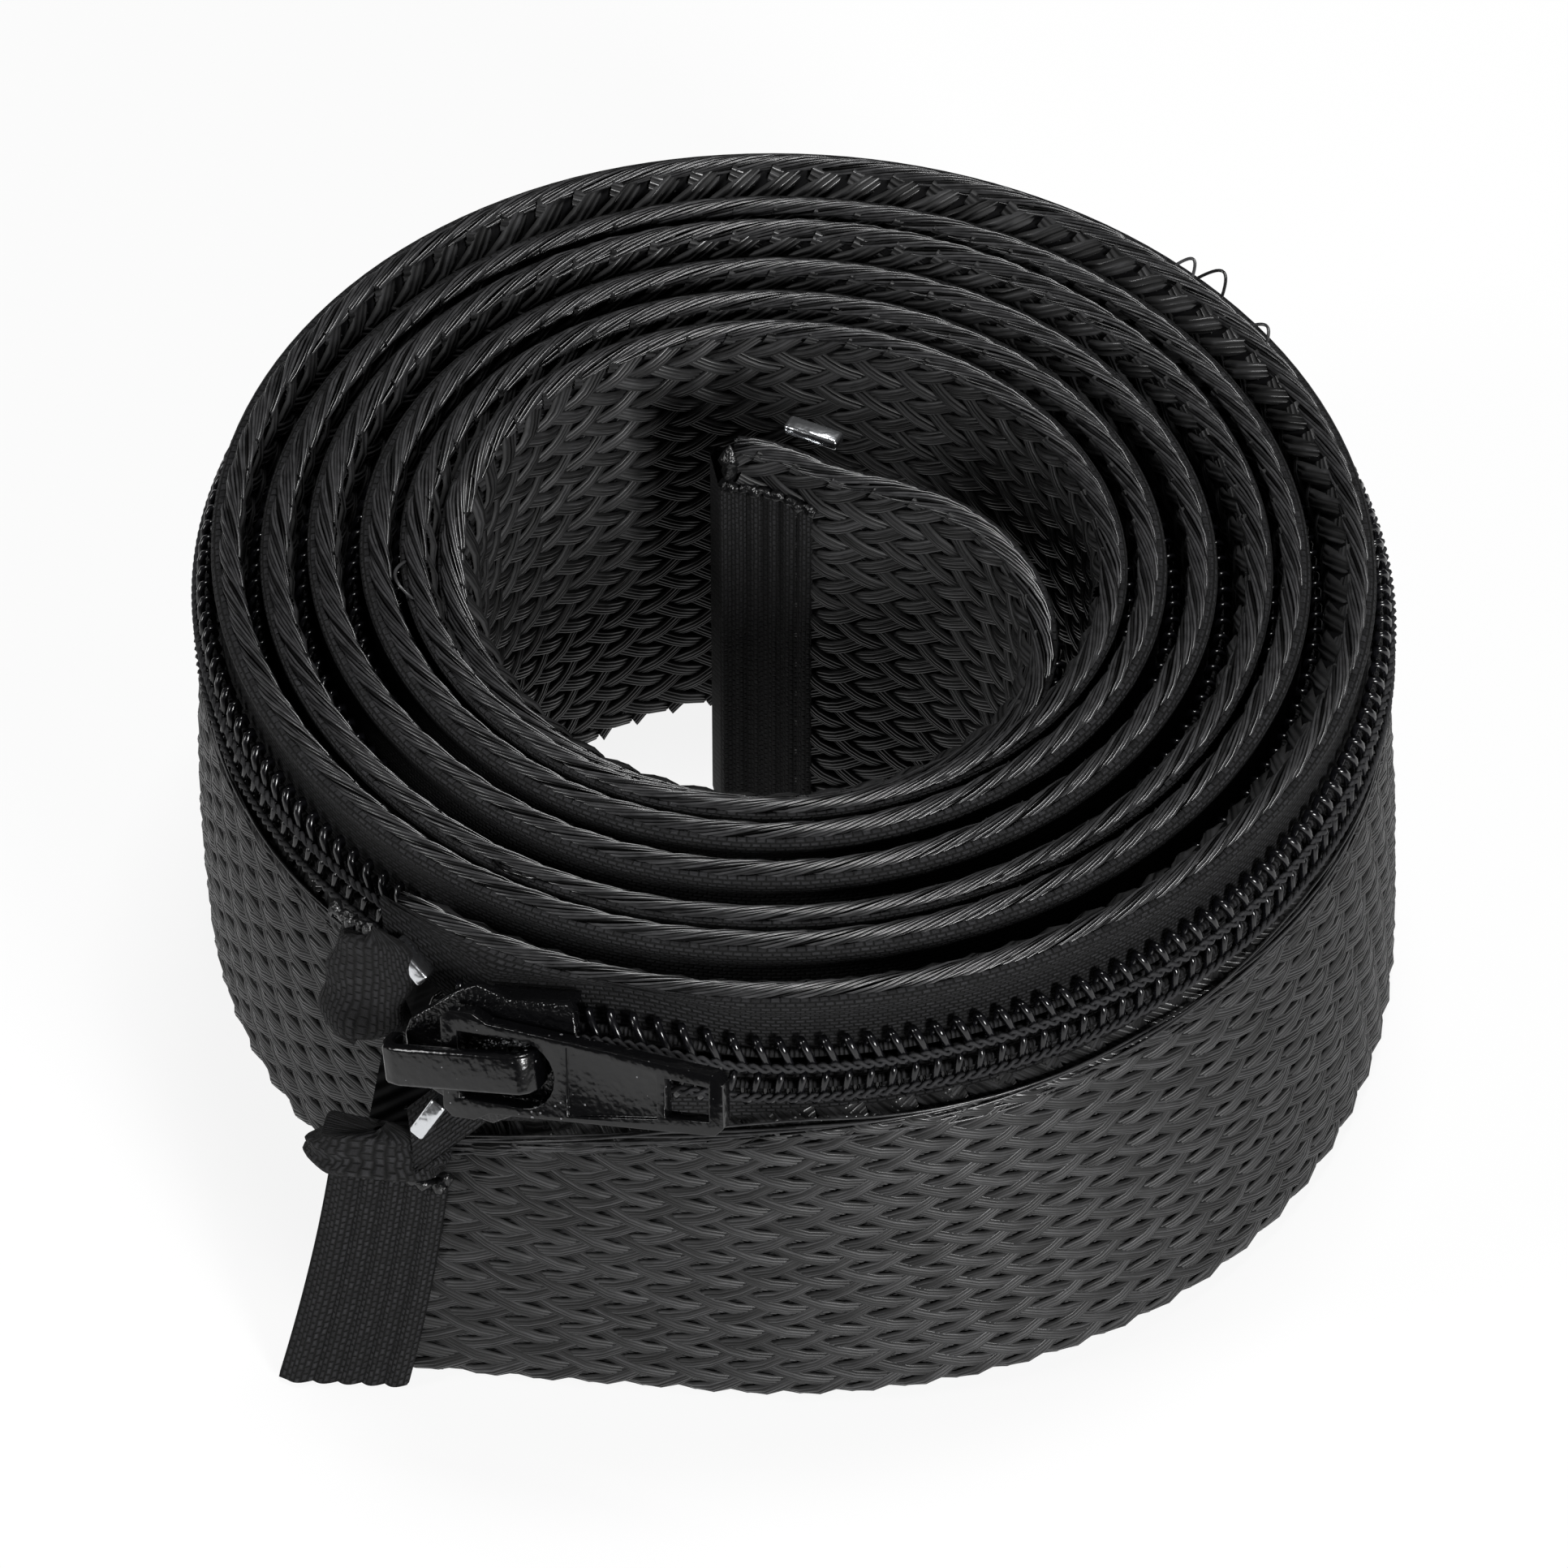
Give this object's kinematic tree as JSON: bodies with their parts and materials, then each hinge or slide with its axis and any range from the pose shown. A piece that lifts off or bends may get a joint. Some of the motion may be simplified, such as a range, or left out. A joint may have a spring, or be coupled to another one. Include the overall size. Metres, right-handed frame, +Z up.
{
  "type": "zippered cable sleeve",
  "caption": "Rolled-up flat tube of black braided monofilament, closed along one edge by a coil zipper with slider and pull.",
  "frame": {"origin": "on the floor under the middle of the whole rolled object, pull tab included", "axes": "+Z up along the axis of the roll, -Y towards the side where the outer end and the slider lie, +X to the right of someone who faces that side"},
  "size_m": [0.1342, 0.1484, 0.0603],
  "materials": {
    "braid": "glossy black monofilament braid",
    "tape": "matt woven polyester tape",
    "coil": "glossy nylon monofilament",
    "band": "matt ribbed knitted band",
    "paint": "glossy black stove enamel on zinc",
    "steel": "bright stamped metal"
  },
  "bodies": {
    "sleeve": {"braid_sleeve": "braid", "zipper_tape_upper": "tape", "zipper_tape_lower": "tape", "coil_upper": "coil", "coil_lower": "coil", "outer_end_band": "band", "inner_end_band": "band", "bottom_stop": "steel", "top_stop_upper": "steel", "top_stop_lower": "steel"},
    "slider": {"slider_body": "paint", "slider_crown": "paint"},
    "pull": {"pull_tab": "paint"},
    "pawl": {"lock_pawl": "steel"}
  },
  "joints": [
    {"name": "slider_travel", "type": "hinge", "parent": "sleeve", "child": "slider", "pos_m": [-0.00302, 0.0043, 0.05], "axis": [0, 0, 1], "range_deg": [0, 205], "deforming": ["coil_upper", "coil_lower", "zipper_tape_upper", "zipper_tape_lower"]},
    {"name": "pull_swing", "type": "hinge", "parent": "slider", "child": "pull", "pos_m": [-0.03637, -0.06158, 0.05068], "axis": [0.0216, -0.3783, -0.9254], "range_deg": [0, 178]},
    {"name": "pawl_lift", "type": "slide", "parent": "slider", "child": "pawl", "axis": [-0.3822, -0.8585, 0.342], "range_m": [0, 0.0008]}
  ],
  "couplings": [
    {"joint": "pawl_lift", "follows": "pull_swing", "m_per_rad": 0.00025}
  ]
}
